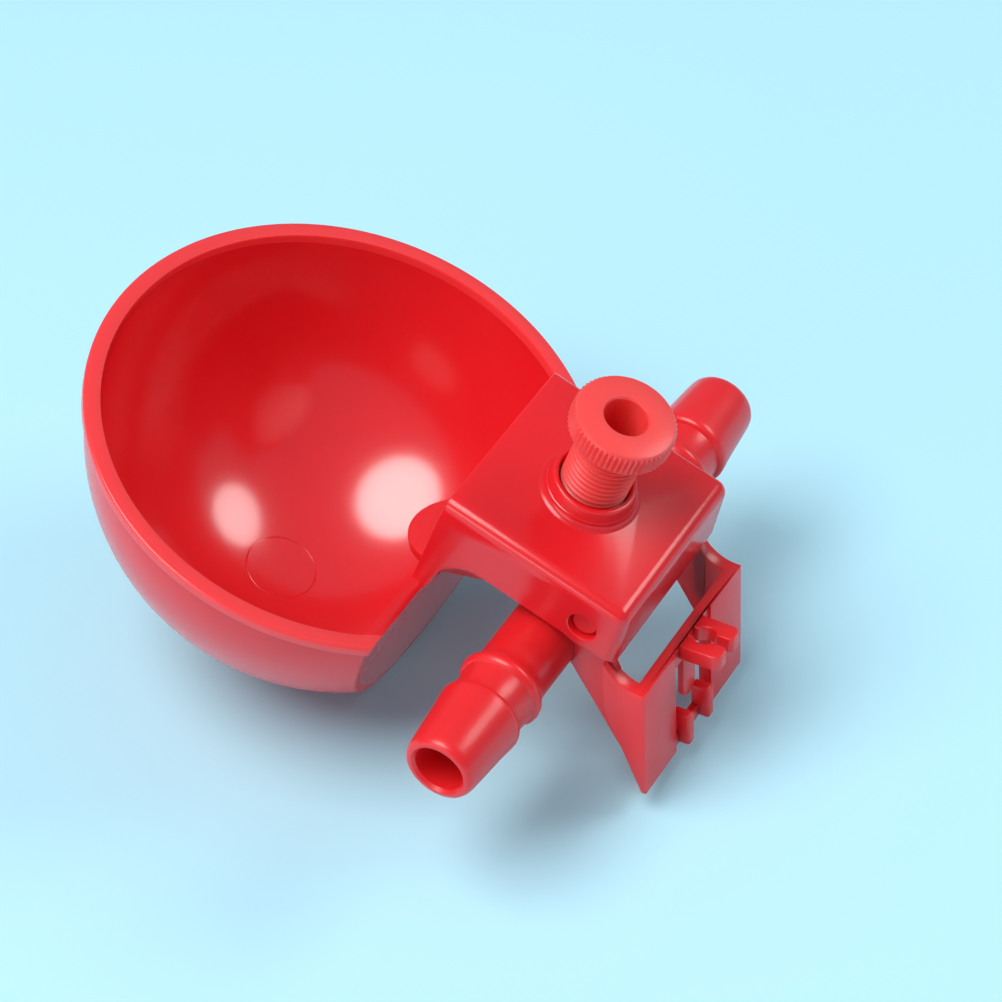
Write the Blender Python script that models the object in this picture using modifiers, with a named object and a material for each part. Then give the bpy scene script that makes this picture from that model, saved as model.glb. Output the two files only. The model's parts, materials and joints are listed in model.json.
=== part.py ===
"""Weight-operated poultry drinking cup: a bowl that swings on a hose tee with a clip-on back plate.

World frame: origin on the back plate's rear face, in the middle of the wire clip.
+X runs along the hose tee, +Y points back to the cage, +Z points up, all in metres.
The cup has its own frame: origin at the centre of its rim, z square to the rim, y to the rear.
"""
import math

import bmesh
import bpy
from mathutils import Matrix, Vector

MM = 0.001
FIT = 0.3 * MM

# Width of the hood, which the pivot ears and the back plate follow
HOOD_WIDTH = 33.0 * MM
PLATE_INSET = 0.8 * MM

# Back plate and its cheeks
PLATE_WIDTH = HOOD_WIDTH - 2 * PLATE_INSET
PLATE_HEIGHT = 20.4 * MM
PLATE_THICKNESS = 2.0 * MM
CHEEK_THICKNESS = 2.4 * MM
CHEEK_FRONT_Y = -6.7 * MM
CHEEK_RISE = 4.0 * MM
CHEEK_SHOULDER_Y = -5.6 * MM
CHEEK_SHOULDER_Z = 2.0 * MM
SLOPE_TOP_Y = -12.7 * MM
SLOPE_TOP_Z = 11.2 * MM
TOE_Y = -0.8 * MM
EAR_THICKNESS = 1.1 * MM
EAR_LAP = 1.7 * MM
EAR_RADIUS = 4.2 * MM

# Wire clip on the back plate
WINDOW_WIDTH = 10.8 * MM
WINDOW_TOP_BAR = 4.0 * MM
WINDOW_BOTTOM_BAR = 2.4 * MM
CLIP_GROOVE = 0.5 * MM
CLIP_REACH = 6.0 * MM
CLIP_HEIGHT = 2.9 * MM
CLIP_SPREAD = 7.4 * MM
CLIP_SEAT_RADIUS = 1.7 * MM
CLIP_SEAT_Y = 1.9 * MM
CLIP_MOUTH = 1.6 * MM
STUB_REACH = 1.3 * MM
STUB_HEIGHT = 6.2 * MM
STUB_GAP = 4.6 * MM
STUB_WIDTH = 1.8 * MM
TAB_WIDTH = 3.8 * MM
TAB_LENGTH = 9.4 * MM
TAB_THICKNESS = 1.3 * MM

# Pivot of the cup
PIVOT_Y = -9.5 * MM
PIVOT_Z = 21.0 * MM
PIN_RADIUS = 2.1 * MM
PIN_RECESS = 0.9 * MM
CUP_RAISE = math.radians(21.2)
CUP_TRAVEL = math.radians(7.5)

# Hose tee
PIPE_Y = -17.7 * MM
PIPE_Z = 13.4 * MM
PIPE_RADIUS = 5.55 * MM
PIPE_BORE_RADIUS = 3.9 * MM
PIPE_HALF_LENGTH = 44.3 * MM
BARB_RADIUS = 6.6 * MM
GROOVE_RADIUS = 5.65 * MM
TIP_RADIUS = 4.75 * MM
CONE_START = 13.8 * MM
RING_START = 21.4 * MM

# Valve seat on the tee and the spout in front of it
HUB_RADIUS = 4.6 * MM
HUB_CLEAR = 0.25 * MM
NOZZLE_RADIUS = 1.6 * MM
NOZZLE_HEIGHT = 1.7 * MM
NOZZLE_BORE_RADIUS = 0.7 * MM
SPOUT_RADIUS = 7.2 * MM
SPOUT_THICKNESS = 1.9 * MM
SPOUT_TIP_Y = -47.6 * MM
SPOUT_ROOT_RADIUS = 5.2 * MM

# Bowl, in the cup's frame
RIM_RADIUS = 40.0 * MM
RIM_OVERHANG = 1.0 * MM
BOWL_RADIUS = RIM_RADIUS - RIM_OVERHANG
BOWL_WALL = 1.8 * MM
BOWL_RISE = 1.5 * MM
RIM_HEIGHT = 1.7 * MM
WALL_Y = RIM_RADIUS * 0.555
WALL_THICKNESS = 1.5 * MM
WALL_LIP = 0.6 * MM

# Hood behind the bowl, in the cup's frame
HOOD_LENGTH = 31.0 * MM
HOOD_TOP_Z = 19.1 * MM
HOOD_SKIRT_Z = 9.0 * MM
HOOD_WALL = 1.6 * MM
HOOD_DRAFT = 1.2 * MM
HOOD_ROUND = 1.4 * MM
GUSSET_REACH = 1.4 * MM
GUSSET_CURVE = 6.5 * MM
CUP_PIVOT_Y = WALL_Y + HOOD_LENGTH - 5.4 * MM
CUP_PIVOT_Z = HOOD_TOP_Z - 6.7 * MM
BOSS_RADIUS = 4.1 * MM
BOSS_INSET = 0.1 * MM
COLLAR_HEIGHT = 3.3 * MM
COLLAR_RADIUS = 6.9 * MM
COLLAR_TOP_RADIUS = 6.2 * MM
COLLAR_FILLET = 0.8 * MM
WINDOW_MARGIN = 0.6 * MM

# Adjusting screw, in the cup's frame
SCREW_Y = WALL_Y + HOOD_LENGTH - 15.9 * MM
SCREW_HEAD_RADIUS = 7.8 * MM
SCREW_HEAD_HEIGHT = 3.9 * MM
SCREW_TOP_Z = 37.2 * MM
SCREW_RADIUS = 5.15 * MM
SCREW_LENGTH = 22.2 * MM
SCREW_HOLE_RADIUS = 3.3 * MM
SCREW_HOLE_DEPTH = 12.0 * MM
SCREW_SOCKET_RADIUS = 3.7 * MM
SCREW_SOCKET_DEPTH = 2.0 * MM
KNURL_TEETH = 48
KNURL_DEPTH = 0.35 * MM

# Plunger, its rubber pad and the spring, hidden under the hood
FLANGE_THICKNESS = 1.0 * MM
STEM_RADIUS = 1.8 * MM
STEM_PIN_RADIUS = 0.8 * MM
STEM_PIN_LENGTH = 0.9 * MM
PAD_RADIUS = 2.2 * MM
PAD_THICKNESS = 1.5 * MM
SPRING_RADIUS = 2.9 * MM
SPRING_WIRE_RADIUS = 0.3 * MM
SPRING_TURNS = 5.5

TURNED_STEPS = 64
TEE_STEPS = 32
BOWL_RINGS = 13
SPRING_STEPS = 14
SMALL_STEPS = 32
OVER = 2.0 * MM

WHITE_RUBBER = (0.72, 0.70, 0.66)
RED = (0.72, 0.018, 0.022)
RED_BASE = (0.66, 0.016, 0.020)
STEEL = (0.62, 0.62, 0.60)

PIVOT = Vector((0.0, PIVOT_Y, PIVOT_Z))


def clear_scene():
    """Remove the objects of the scene, so that the script starts from nothing."""
    for item in list(bpy.data.objects):
        bpy.data.objects.remove(item, do_unlink=True)


def new_collection(name):
    """A new collection linked to the scene."""
    collection = bpy.data.collections.new(name)
    bpy.context.scene.collection.children.link(collection)
    return collection


def new_material(name, color, roughness, metallic=0.0):
    """A plain Principled BSDF material."""
    material = bpy.data.materials.new(name)
    material.use_nodes = True
    shader = material.node_tree.nodes["Principled BSDF"]
    shader.inputs["Base Color"].default_value = (*color, 1.0)
    shader.inputs["Roughness"].default_value = roughness
    shader.inputs["Metallic"].default_value = metallic
    return material


def add_object(name, data, collection):
    """Link a new object with this mesh or curve into a collection."""
    item = bpy.data.objects.new(name, data)
    collection.objects.link(item)
    return item


def freeze(item):
    """Replace an object's data by its evaluated mesh, with its modifiers applied."""
    bpy.context.view_layer.update()
    graph = bpy.context.evaluated_depsgraph_get()
    mesh = bpy.data.meshes.new_from_object(item.evaluated_get(graph))
    if item.type == "CURVE":
        shell = bmesh.new()
        shell.from_mesh(mesh)
        bmesh.ops.remove_doubles(shell, verts=shell.verts, dist=1e-6)
        bmesh.ops.recalc_face_normals(shell, faces=shell.faces)
        shell.to_mesh(mesh)
        shell.free()
        solid = add_object(item.name + "_mesh", mesh, item.users_collection[0])
        solid.matrix_world = item.matrix_world
        name = item.name
        bpy.data.objects.remove(item)
        solid.name = name
        return solid
    item.modifiers.clear()
    item.data = mesh
    return item


def combine(item, other, operation):
    """Apply an exact Boolean between two solids and remove the second one."""
    modifier = item.modifiers.new(operation.title(), "BOOLEAN")
    modifier.operation = operation
    modifier.solver = "EXACT"
    modifier.object = other
    freeze(item)
    bpy.data.objects.remove(other)
    return item


def place_mesh(item, matrix):
    """Move a mesh by a matrix, into the frame it is built in."""
    item.data.transform(matrix)
    item.data.update()
    return item


def block(name, low, high):
    """A box between two corners."""
    shell = bmesh.new()
    bmesh.ops.create_cube(shell, size=1.0)
    low, high = Vector(low), Vector(high)
    for vertex in shell.verts:
        vertex.co = (low + high) / 2 + Vector(
            [vertex.co[axis] * (high[axis] - low[axis]) for axis in range(3)])
    mesh = bpy.data.meshes.new(name)
    shell.to_mesh(mesh)
    shell.free()
    return add_object(name, mesh, CUTTERS)


def rod(name, radius, start, end, steps=SMALL_STEPS):
    """A cylinder between two points."""
    start, end = Vector(start), Vector(end)
    shell = bmesh.new()
    bmesh.ops.create_cone(shell, cap_ends=True, segments=steps, radius1=radius, radius2=radius,
                          depth=(end - start).length)
    turn = Vector((0, 0, 1)).rotation_difference(end - start).to_matrix().to_4x4()
    bmesh.ops.transform(shell, matrix=Matrix.Translation((start + end) / 2) @ turn, verts=shell.verts)
    mesh = bpy.data.meshes.new(name)
    shell.to_mesh(mesh)
    shell.free()
    return add_object(name, mesh, CUTTERS)


def turned(name, profile, steps=TURNED_STEPS):
    """A solid turned about Z from a profile of (radius, height) that runs down its outer side."""
    mesh = bpy.data.meshes.new(name)
    shell = bmesh.new()
    corners = [shell.verts.new((radius, 0.0, height)) for radius, height in profile]
    for first, second in zip(corners, corners[1:]):
        shell.edges.new((first, second))
    shell.to_mesh(mesh)
    shell.free()
    item = add_object(name, mesh, CUTTERS)
    screw = item.modifiers.new("Screw", "SCREW")
    screw.steps = steps
    screw.render_steps = steps
    screw.use_merge_vertices = True
    screw.merge_threshold = 0.00001
    return freeze(item)


def outline_solid(name, points, plane, low, high):
    """A closed flat outline, filled and extruded: plane is 'YZ' or 'XY', from low to high."""
    curve = bpy.data.curves.new(name, "CURVE")
    curve.dimensions = "2D"
    curve.fill_mode = "BOTH"
    curve.extrude = (high - low) / 2
    spline = curve.splines.new("POLY")
    spline.points.add(len(points) - 1)
    for point, (across, up) in zip(spline.points, points):
        point.co = (across, up, 0.0, 1.0)
    spline.use_cyclic_u = True
    item = freeze(add_object(name, curve, CUTTERS))
    middle = (low + high) / 2
    if plane == "YZ":
        axes = Matrix(((0, 0, 1, middle), (1, 0, 0, 0), (0, 1, 0, 0), (0, 0, 0, 1)))
    else:
        axes = Matrix.Translation((0, 0, middle))
    return place_mesh(item, axes)


def arc(center, radius, start, end, count):
    """Points along an arc, angles in degrees."""
    return [(center[0] + radius * math.cos(math.radians(start + (end - start) * step / count)),
             center[1] + radius * math.sin(math.radians(start + (end - start) * step / count)))
            for step in range(count + 1)]


def finish_piece(item, name, material):
    """Name a finished solid, move it to the part's collection and shade it."""
    for holder in list(item.users_collection):
        holder.objects.unlink(item)
    PARTS.objects.link(item)
    item.name = name
    item.data.name = name
    item.data.materials.clear()
    item.data.materials.append(material)
    item.data.shade_smooth()
    item.data.set_sharp_from_angle(angle=math.radians(32))
    return item


def cup_matrix(raise_angle):
    """The cup's frame in the world, with the cup's front raised by this angle about the pivot."""
    tilt = Matrix.Rotation(-raise_angle, 4, "X")
    return Matrix.Translation(PIVOT) @ tilt @ Matrix.Translation((0, -CUP_PIVOT_Y, -CUP_PIVOT_Z))


def barb_profile():
    """Half of the tee's outside, from its middle to the open end, as (distance, radius)."""
    ring = PIPE_HALF_LENGTH - RING_START
    cone = PIPE_HALF_LENGTH - CONE_START
    tip = PIPE_HALF_LENGTH
    lip = BARB_RADIUS - PIPE_RADIUS
    return [(0.0, PIPE_RADIUS), (ring - 0.1 * MM, PIPE_RADIUS),
            (ring + 0.4 * MM, PIPE_RADIUS + lip * 0.6), (ring + 1.1 * MM, PIPE_RADIUS + lip * 0.95),
            (ring + 2.2 * MM, BARB_RADIUS + 0.05 * MM), (ring + 3.6 * MM, BARB_RADIUS - 0.35 * MM),
            (ring + 5.8 * MM, GROOVE_RADIUS + 0.1 * MM), (cone - 0.6 * MM, GROOVE_RADIUS),
            (cone, GROOVE_RADIUS + 0.4 * MM), (cone + 0.4 * MM, BARB_RADIUS - 0.1 * MM),
            (cone + 1.1 * MM, BARB_RADIUS), (cone + 2.5 * MM, BARB_RADIUS - 0.15 * MM),
            (tip - 1.1 * MM, TIP_RADIUS + 0.7 * MM), (tip - 0.35 * MM, TIP_RADIUS + 0.4 * MM),
            (tip, TIP_RADIUS)]


def make_tee():
    """The straight hose pipe with a cone barb and a rounded bead at each end, still without its bore."""
    half = barb_profile()
    outside = [(radius, distance) for distance, radius in reversed(half)]
    outside += [(radius, -distance) for distance, radius in half[1:]]
    profile = [(0.0, PIPE_HALF_LENGTH)] + outside + [(0.0, -PIPE_HALF_LENGTH)]
    tee = turned("tee", profile, steps=TEE_STEPS)
    place = Matrix.Translation((0, PIPE_Y, PIPE_Z)) @ Matrix.Rotation(math.radians(90), 4, "Y")
    return place_mesh(tee, place)


def seat_height():
    """Where the hub's shoulder lies in the cup's frame when the cup is right down."""
    down = cup_matrix(CUP_RAISE - CUP_TRAVEL).inverted()
    pipe = down @ Vector((0, PIPE_Y, PIPE_Z))
    return pipe.z + PIPE_RADIUS + HUB_CLEAR


def add_hub(body):
    """The valve hub: a boss in front of the pipe whose nozzle points at the plunger."""
    down = cup_matrix(CUP_RAISE - CUP_TRAVEL)
    shoulder = seat_height()
    foot = (down.inverted() @ Vector((0, PIPE_Y, PIPE_Z))).z - PIPE_RADIUS * 0.7
    hub = turned("hub", [(0.0, shoulder + NOZZLE_HEIGHT), (NOZZLE_RADIUS, shoulder + NOZZLE_HEIGHT),
                         (NOZZLE_RADIUS + 0.2 * MM, shoulder), (HUB_RADIUS, shoulder),
                         (HUB_RADIUS, foot), (0.0, foot)], steps=SMALL_STEPS)
    place_mesh(hub, down @ Matrix.Translation((0, SCREW_Y, 0)))
    return combine(body, hub, "UNION")


def add_spout(body):
    """The flat spout that carries the water through the hood's front window into the bowl."""
    root = (down_axis_point(0.0).y, down_axis_point(0.0).z)
    center_y = SPOUT_TIP_Y + SPOUT_RADIUS
    tongue = [(SPOUT_RADIUS, center_y + OVER)] + arc((0.0, center_y), SPOUT_RADIUS, 0, -180, 20)
    tongue += [(-SPOUT_RADIUS, center_y + OVER), (-SPOUT_ROOT_RADIUS, root[0] - HUB_RADIUS),
               (-SPOUT_ROOT_RADIUS, PIPE_Y), (SPOUT_ROOT_RADIUS, PIPE_Y),
               (SPOUT_ROOT_RADIUS, root[0] - HUB_RADIUS)]
    plate = outline_solid("spout", tongue, "XY", PIPE_Z - SPOUT_THICKNESS, PIPE_Z)
    return combine(body, plate, "UNION")


def down_axis_point(height):
    """A point of the plunger's axis in the world when the cup is right down."""
    return cup_matrix(CUP_RAISE - CUP_TRAVEL) @ Vector((0, SCREW_Y, height))


def ear_outline():
    """The side ear in Y and Z: round the pivot, into the pipe and down the slanted front edge."""
    foot = -PLATE_HEIGHT / 2 + 0.1 * MM
    top = arc((PIVOT_Y, PIVOT_Z), EAR_RADIUS, 0, 140, 12)
    front = arc((PIPE_Y, PIPE_Z), PIPE_RADIUS - 0.7 * MM, 140, 200, 5)
    front.append((SLOPE_TOP_Y, SLOPE_TOP_Z))
    rear = CHEEK_FRONT_Y + EAR_LAP
    knee = PLATE_HEIGHT / 2 + CHEEK_RISE
    return top + front + [(TOE_Y - 0.2 * MM, foot), (rear, foot + 5 * OVER), (rear, knee - OVER),
                          (CHEEK_FRONT_Y - 0.8 * MM, PIVOT_Z - 3.0 * MM)]


def cheek_outline():
    """The full-width rear part of a side, under the hollow curve of its top edge."""
    foot = -PLATE_HEIGHT / 2
    top = PLATE_HEIGHT / 2
    hollow = []
    for step in range(9):
        share = step / 8
        hollow.append((CHEEK_FRONT_Y * share, top + CHEEK_RISE * share ** 2.6))
    front = [(CHEEK_FRONT_Y, CHEEK_SHOULDER_Z + 1.5 * OVER), (CHEEK_SHOULDER_Y, CHEEK_SHOULDER_Z)]
    return [(0.0, foot), (0.0, top)] + hollow[1:] + front + [(TOE_Y, foot)]


def add_ears(body):
    """Two ears with pivot pins inside the hood, each lapping the cheek behind it."""
    ear_out = HOOD_WIDTH / 2 - HOOD_WALL - 2 * FIT
    ear_in = ear_out - EAR_THICKNESS
    pin_out = HOOD_WIDTH / 2 - PIN_RECESS
    for side in (1, -1):
        low, high = sorted((side * ear_in, side * ear_out))
        combine(body, outline_solid("ear", ear_outline(), "YZ", low, high), "UNION")
        pin = rod("pin", PIN_RADIUS, (side * (ear_in + FIT), PIVOT_Y, PIVOT_Z),
                  (side * pin_out, PIVOT_Y, PIVOT_Z))
        combine(body, pin, "UNION")
    return body


def make_back_plate():
    """The back plate with a cheek at each side, the tab's window and the groove the wire lies along."""
    half = PLATE_HEIGHT / 2
    width = PLATE_WIDTH / 2
    plate = outline_solid("plate", cheek_outline(), "YZ", -width, width)
    inner = width - CHEEK_THICKNESS
    room = block("room", (-inner, CHEEK_FRONT_Y - OVER, -half - OVER),
                 (inner, -PLATE_THICKNESS, half + CHEEK_RISE + OVER))
    combine(plate, room, "DIFFERENCE")
    window = block("window", (-WINDOW_WIDTH / 2, -PLATE_THICKNESS - OVER, -half + WINDOW_BOTTOM_BAR),
                   (WINDOW_WIDTH / 2, OVER, half - WINDOW_TOP_BAR))
    combine(plate, window, "DIFFERENCE")
    groove = block("groove", (-WINDOW_WIDTH / 2 - FIT, -CLIP_GROOVE, -half - OVER),
                   (WINDOW_WIDTH / 2 + FIT, OVER, half + OVER))
    return combine(plate, groove, "DIFFERENCE")


def finger_outline(side):
    """One upper clip finger from above: a root on the plate, a round wire seat and a rounded tip."""
    outer = CLIP_SPREAD / 2
    inner = CLIP_MOUTH / 2
    root = -CLIP_GROOVE - 0.7 * MM
    tip = 1.3 * MM
    points = [(outer, root)] + arc((outer - tip, CLIP_REACH - tip), tip, 0, 90, 5)
    points += arc((inner + 0.8 * MM, CLIP_REACH - 0.8 * MM), 0.8 * MM, 90, 180, 4)
    points += arc((0.0, CLIP_SEAT_Y), CLIP_SEAT_RADIUS, 60, -62, 10)
    points.append((points[-1][0], root))
    return [(side * across, up) for across, up in points]


def add_clip(body):
    """Two hooked fingers over two short stubs, and a round-ended tab that presses on the wire."""
    half = PLATE_HEIGHT / 2
    for side in (1, -1):
        finger = outline_solid("finger", finger_outline(side), "XY", half - CLIP_HEIGHT, half - FIT / 2)
        combine(body, finger, "UNION")
        low, high = sorted((side * STUB_GAP / 2, side * (STUB_GAP / 2 + STUB_WIDTH)))
        stub = block("stub", (low, FIT / 2 - PLATE_THICKNESS, FIT / 2 - half),
                     (high, STUB_REACH, STUB_HEIGHT - half))
        combine(body, stub, "UNION")
    tab_top = half - WINDOW_TOP_BAR
    tab_end = tab_top - TAB_LENGTH + TAB_WIDTH / 2
    tab = [(-TAB_WIDTH / 2, tab_top + OVER), (TAB_WIDTH / 2, tab_top + OVER)]
    tab += arc((0.0, tab_end), TAB_WIDTH / 2, 0, -180, 10)
    piece = outline_solid("tab", tab, "XY", FIT / 2, TAB_THICKNESS)
    stand = Matrix(((1, 0, 0, 0), (0, 0, 1, -PLATE_THICKNESS), (0, 1, 0, 0), (0, 0, 0, 1)))
    place_mesh(piece, stand)
    piece.data.flip_normals()
    return combine(body, piece, "UNION")


def make_valve_body(material):
    """The lower moulding: hose tee, valve hub, spout, pivot ears, cheeks and back plate."""
    body = make_tee()
    add_hub(body)
    add_spout(body)
    combine(body, make_back_plate(), "UNION")
    add_ears(body)
    add_clip(body)
    top = down_axis_point(seat_height() + NOZZLE_HEIGHT + OVER)
    inlet = rod("inlet", NOZZLE_BORE_RADIUS, top, (0, PIPE_Y - NOZZLE_BORE_RADIUS * 2, PIPE_Z), steps=12)
    combine(body, inlet, "DIFFERENCE")
    reach = PIPE_HALF_LENGTH + OVER
    bore = rod("bore", PIPE_BORE_RADIUS, (-reach, PIPE_Y, PIPE_Z), (reach, PIPE_Y, PIPE_Z))
    combine(body, bore, "DIFFERENCE")
    return finish_piece(body, "valve_body", material)


def bowl_curve(radius, count):
    """A quarter circle from the rim's level down to the bowl's lowest point."""
    points = []
    for step in range(count + 1):
        angle = math.pi / 2 * step / count
        points.append((radius * math.cos(angle), -BOWL_RISE - radius * math.sin(angle)))
    return points


def bowl_outside():
    """The bowl's outer profile with the rim's lip, top to bottom."""
    lip = 0.3 * MM
    rim = [(RIM_RADIUS - lip, 0.0), (RIM_RADIUS, -lip), (RIM_RADIUS, -RIM_HEIGHT + lip),
           (RIM_RADIUS - lip, -RIM_HEIGHT), (BOWL_RADIUS, -RIM_HEIGHT)]
    return rim + bowl_curve(BOWL_RADIUS, BOWL_RINGS)[1:]


def make_bowl():
    """The round bowl, cut off flat at the rear and closed by the flat wall."""
    inner_radius = BOWL_RADIUS - BOWL_WALL
    inside = list(reversed(bowl_curve(inner_radius, BOWL_RINGS))) + [(inner_radius, 0.0)]
    bowl = turned("bowl", inside + bowl_outside())
    reach = RIM_RADIUS + OVER
    rear = block("rear", (-reach, WALL_Y + WALL_THICKNESS / 2, -reach * 1.1), (reach, reach, OVER))
    combine(bowl, rear, "DIFFERENCE")
    wall = turned("wall", [(0.0, 0.0)] + bowl_outside())
    slab = block("slab", (-reach, WALL_Y, -reach * 1.1), (reach, WALL_Y + WALL_THICKNESS, OVER))
    combine(wall, slab, "INTERSECT")
    combine(bowl, wall, "UNION")
    lip_end = math.sqrt(RIM_RADIUS ** 2 - (WALL_Y + WALL_THICKNESS) ** 2) - 0.3 * MM
    lip = block("lip", (-lip_end, WALL_Y + WALL_THICKNESS / 2, -RIM_HEIGHT * 0.8),
                (lip_end, WALL_Y + WALL_THICKNESS + WALL_LIP, 0.0))
    return combine(bowl, lip, "UNION")


def hood_outline():
    """The hood's side view in Y and Z, with the curve that runs down onto the flat wall."""
    rear_top = WALL_Y + HOOD_LENGTH
    low = -RIM_HEIGHT - 1.0 * MM
    foot = WALL_Y + WALL_THICKNESS
    center = (foot + GUSSET_REACH + GUSSET_CURVE, HOOD_SKIRT_Z - GUSSET_CURVE)
    curve = arc(center, GUSSET_CURVE, 90, 180, 8)
    return [(WALL_Y, low), (WALL_Y, HOOD_TOP_Z), (rear_top, HOOD_TOP_Z),
            (rear_top + HOOD_DRAFT, HOOD_SKIRT_Z)] + curve + [(foot + WALL_LIP, low)]


def round_hood(hood):
    """Round the hood's rear corners and the edges of its top, and leave its front square."""
    shell = bmesh.new()
    shell.from_mesh(hood.data)
    shell.edges.ensure_lookup_table()
    front = WALL_Y + 0.1 * MM
    chosen = []
    for edge in shell.edges:
        first, second = (vertex.co for vertex in edge.verts)
        on_top = min(first.z, second.z) > HOOD_TOP_Z - 0.01 * MM
        at_front = max(first.y, second.y) < front
        at_rear = min(first.y, second.y) > WALL_Y + HOOD_LENGTH - OVER
        upright_rear = at_rear and abs(first.z - second.z) > OVER
        if (on_top and not at_front) or upright_rear:
            if abs(first.x - second.x) < 0.01 * MM or on_top:
                chosen.append(edge)
    bmesh.ops.bevel(shell, geom=chosen, offset=HOOD_ROUND, segments=4, profile=0.5,
                    affect="EDGES", clamp_overlap=True)
    shell.to_mesh(hood.data)
    shell.free()


def flat_hood_solid():
    """The hood's outer solid as six flat sides, ready to be rounded and hollowed."""
    half = HOOD_WIDTH / 2
    hood = outline_solid("hood", hood_outline(), "YZ", -half, half)
    shell = bmesh.new()
    shell.from_mesh(hood.data)
    bmesh.ops.dissolve_limit(shell, angle_limit=math.radians(0.5), verts=shell.verts, edges=shell.edges)
    shell.to_mesh(hood.data)
    shell.free()
    return hood


def spout_window():
    """The window in the front wall that lets the spout move up and down as the cup swings."""
    heights = []
    for travel in (0.0, CUP_TRAVEL):
        frame = cup_matrix(CUP_RAISE - travel).inverted()
        for z in (PIPE_Z, PIPE_Z - SPOUT_THICKNESS):
            for y in (WALL_Y, WALL_Y + WALL_THICKNESS):
                first = frame @ Vector((0, SPOUT_TIP_Y, z))
                second = frame @ Vector((0, PIPE_Y, z))
                share = (y - first.y) / (second.y - first.y)
                heights.append(first.z + (second.z - first.z) * share)
    half = SPOUT_RADIUS + WINDOW_MARGIN
    return block("window", (-half, WALL_Y - OVER, min(heights) - WINDOW_MARGIN),
                 (half, WALL_Y + WALL_THICKNESS + WALL_LIP + OVER, max(heights) + WINDOW_MARGIN))


def make_cup(material):
    """The upper moulding: bowl, flat wall and the hood over the valve, with its screw collar."""
    cup = make_bowl()
    hood = flat_hood_solid()
    round_hood(hood)
    inner = HOOD_WIDTH / 2 - HOOD_WALL
    rear_in = WALL_Y + HOOD_LENGTH - HOOD_WALL
    front_in = WALL_Y + WALL_THICKNESS
    ceiling = HOOD_TOP_Z - HOOD_WALL
    rear_low = rear_in + HOOD_DRAFT * 1.2
    side_view = [(front_in, -OVER * 4), (front_in, ceiling), (rear_in, ceiling),
                 (rear_low, HOOD_SKIRT_Z - OVER), (rear_low, -OVER * 4)]
    cavity = outline_solid("cavity", side_view, "YZ", -inner, inner)
    combine(hood, cavity, "DIFFERENCE")
    combine(cup, hood, "UNION")
    for side in (1, -1):
        boss = rod("boss", BOSS_RADIUS, (side * (inner + BOSS_INSET), CUP_PIVOT_Y, CUP_PIVOT_Z),
                   (side * (HOOD_WIDTH / 2 - BOSS_INSET), CUP_PIVOT_Y, CUP_PIVOT_Z))
        combine(cup, boss, "UNION")
    top = HOOD_TOP_Z + COLLAR_HEIGHT
    collar = turned("collar", [
        (0.0, top), (COLLAR_TOP_RADIUS, top), (COLLAR_TOP_RADIUS + 0.3 * MM, top - 0.5 * MM),
        (COLLAR_RADIUS, HOOD_TOP_Z + COLLAR_FILLET),
        (COLLAR_RADIUS + COLLAR_FILLET * 0.3, HOOD_TOP_Z + COLLAR_FILLET * 0.3),
        (COLLAR_RADIUS + COLLAR_FILLET, HOOD_TOP_Z - 0.02 * MM),
        (COLLAR_RADIUS, ceiling), (0.0, ceiling)], steps=44)
    place_mesh(collar, Matrix.Translation((0, SCREW_Y, 0)))
    combine(cup, collar, "UNION")
    reach = HOOD_WIDTH / 2 + OVER
    pivot = rod("pivot_bore", PIN_RADIUS + FIT, (-reach, CUP_PIVOT_Y, CUP_PIVOT_Z),
                (reach, CUP_PIVOT_Y, CUP_PIVOT_Z), steps=SMALL_STEPS - 2)
    combine(cup, pivot, "DIFFERENCE")
    combine(cup, spout_window(), "DIFFERENCE")
    bore = rod("screw_bore", SCREW_RADIUS + FIT, (0, SCREW_Y, HOOD_SKIRT_Z),
               (0, SCREW_Y, HOOD_TOP_Z + COLLAR_HEIGHT + OVER), steps=40)
    combine(cup, bore, "DIFFERENCE")
    return finish_piece(cup, "cup", material)


def make_screw(material):
    """The hollow thumb screw: a knurled head, a plain-turned thread core, a hole and a spring socket."""
    head_low = SCREW_TOP_Z - SCREW_HEAD_HEIGHT
    end = SCREW_TOP_Z - SCREW_LENGTH
    hole_low = SCREW_TOP_Z - SCREW_HOLE_DEPTH
    screw = turned("screw", [
        (0.0, hole_low), (SCREW_HOLE_RADIUS, hole_low), (SCREW_HOLE_RADIUS, SCREW_TOP_Z),
        (SCREW_HEAD_RADIUS - KNURL_DEPTH - 0.2 * MM, SCREW_TOP_Z),
        (SCREW_HEAD_RADIUS, SCREW_TOP_Z - 0.5 * MM), (SCREW_HEAD_RADIUS, head_low + 0.3 * MM),
        (SCREW_HEAD_RADIUS - KNURL_DEPTH - 0.1 * MM, head_low), (SCREW_RADIUS, head_low),
        (SCREW_RADIUS, end + 0.5 * MM), (SCREW_RADIUS - 0.5 * MM, end), (SCREW_SOCKET_RADIUS, end),
        (SCREW_SOCKET_RADIUS, end + SCREW_SOCKET_DEPTH), (0.0, end + SCREW_SOCKET_DEPTH)],
        steps=KNURL_TEETH * 2)
    cut_knurl(screw)
    return finish_piece(screw, "adjusting_screw", material)


def cut_knurl(screw):
    """Press every second corner of the head's rim inward, which leaves one tooth for each corner kept."""
    for vertex in screw.data.vertices:
        radius = math.hypot(vertex.co.x, vertex.co.y)
        step = round(math.atan2(vertex.co.y, vertex.co.x) * KNURL_TEETH / math.pi)
        if radius > SCREW_HEAD_RADIUS - KNURL_DEPTH and step % 2:
            vertex.co.x *= 1 - KNURL_DEPTH / radius
            vertex.co.y *= 1 - KNURL_DEPTH / radius


def socket_ceiling():
    """Height of the screw's spring socket in the cup's frame."""
    return SCREW_TOP_Z - SCREW_LENGTH + SCREW_SOCKET_DEPTH


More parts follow.
